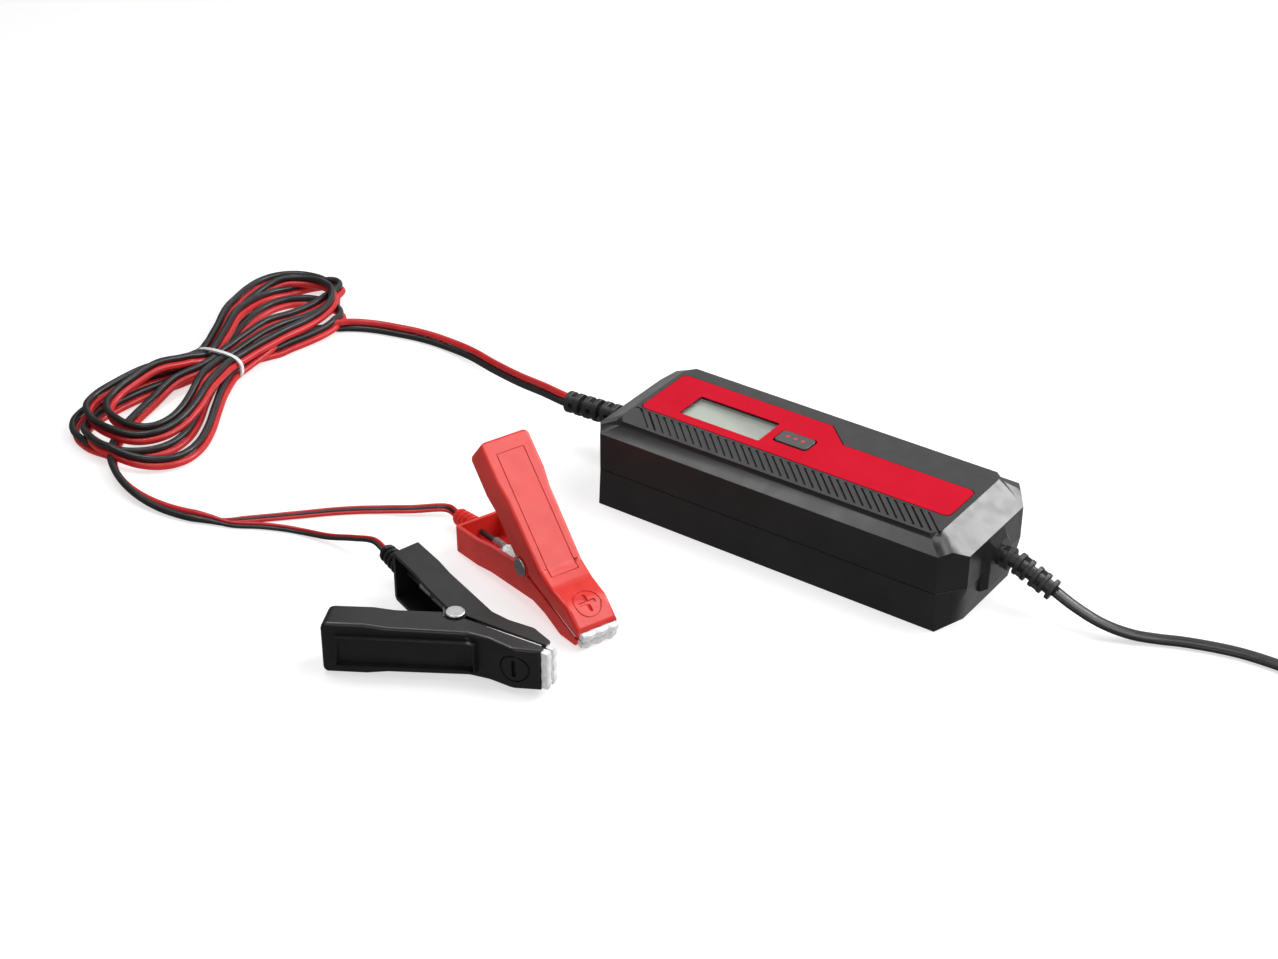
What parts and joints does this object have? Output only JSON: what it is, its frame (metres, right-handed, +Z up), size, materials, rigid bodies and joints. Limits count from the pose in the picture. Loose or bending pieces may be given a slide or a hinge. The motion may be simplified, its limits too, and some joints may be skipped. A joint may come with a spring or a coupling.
{
  "type": "car battery charger",
  "caption": "Slab-shaped mains charger with a display and a mode key, a tied twin cable that forks to two sprung clamps, and a coiled mains cable with its plug.",
  "frame": {"origin": "centre of the underside of the charger case, on the surface it rests on", "axes": "+X along the case towards the mains cable, +Y to the back, +Z up from the underside"},
  "size_m": [0.6594, 0.2931, 0.0636],
  "materials": {
    "case_black": "fine moulded texture",
    "label_red": "satin printed overlay",
    "window_clear": "clear lens",
    "display": "grey-green liquid crystal panel",
    "button": "dark key",
    "rubber_black": "soft black vinyl",
    "clamp_red": "satin red grip",
    "clamp_black": "satin black grip",
    "nickel": "nickel plated steel",
    "screw_steel": "zinc plated",
    "copper": "enamelled copper winding",
    "tie_white": "white sheathed tie",
    "board_green": "solder mask",
    "part_black": "moulded component body",
    "part_yellow": "winding tape",
    "part_blue": "sleeve or relay cover",
    "ferrite": "ferrite",
    "aluminium": "extruded"
  },
  "bodies": {
    "charger": {"bottom_case": "case_black", "top_cover": "case_black", "front_label": "label_red", "lcd_window": "window_clear", "lcd_panel": "display", "lcd_backlight": "tie_white", "display_board": "board_green", "button_switch": "part_black", "circuit_board": "board_green", "display_ribbon": "tie_white", "transformer_core": "ferrite", "transformer_winding": "part_yellow", "mains_capacitor": "part_black", "output_capacitor_1": "part_blue", "output_capacitor_2": "part_blue", "common_mode_choke": "copper", "output_coil": "copper", "mains_fuse": "window_clear", "output_relay": "part_blue", "heatsink": "aluminium", "power_transistor": "part_black", "output_diode": "part_black", "mains_strain_relief": "rubber_black", "dc_strain_relief": "rubber_black", "mains_inner_lead": "rubber_black", "dc_inner_lead": "rubber_black", "dc_cable_run": "rubber_black", "dc_cable_tail": "rubber_black", "red_lead": "rubber_black", "black_lead": "rubber_black", "dc_cable_hank": "rubber_black", "hank_tie": "tie_white", "mains_cable_run": "rubber_black", "mains_cable_coil": "rubber_black", "coil_tie": "part_black", "plug_body": "rubber_black", "plug_pin_1": "nickel", "plug_pin_2": "nickel", "case_screw_1": "screw_steel", "case_screw_2": "screw_steel", "case_screw_3": "screw_steel", "case_screw_4": "screw_steel", "red_clamp_fixed_arm": "clamp_red", "red_clamp_pivot_pin": "nickel", "red_clamp_spring": "nickel", "red_clamp_fixed_jaw": "nickel", "red_clamp_wire_lug": "nickel", "red_clamp_wire_end": "rubber_black", "black_clamp_fixed_arm": "clamp_black", "black_clamp_pivot_pin": "nickel", "black_clamp_spring": "nickel", "black_clamp_fixed_jaw": "nickel", "black_clamp_wire_lug": "nickel", "black_clamp_wire_end": "rubber_black"},
    "mode_button": {"mode_button": "button"},
    "red_clamp_arm": {"red_clamp_moving_arm": "clamp_red", "red_clamp_moving_jaw": "nickel"},
    "black_clamp_arm": {"black_clamp_moving_arm": "clamp_black", "black_clamp_moving_jaw": "nickel"}
  },
  "joints": [
    {"name": "mode_button_press", "type": "slide", "parent": "charger", "child": "mode_button", "axis": [0, 0, -1], "range_m": [0, 0.0006], "stiffness_N_per_m": 150, "springref_m": -0.003},
    {"name": "red_clamp_hinge", "type": "hinge", "parent": "charger", "child": "red_clamp_arm", "pos_m": [-0.059, -0.105, 0.0188], "axis": [-0.3387, -0.9409, 0], "range_deg": [0, 30], "stiffness_Nm_per_rad": 0.4, "springref_deg": -34.38, "deforming": ["red_clamp_spring"]},
    {"name": "black_clamp_hinge", "type": "hinge", "parent": "charger", "child": "black_clamp_arm", "pos_m": [-0.0607, -0.1585, 0.0118], "axis": [0, 0, -1], "range_deg": [0, 30], "stiffness_Nm_per_rad": 0.4, "springref_deg": -34.38, "deforming": ["black_clamp_spring"]}
  ]
}
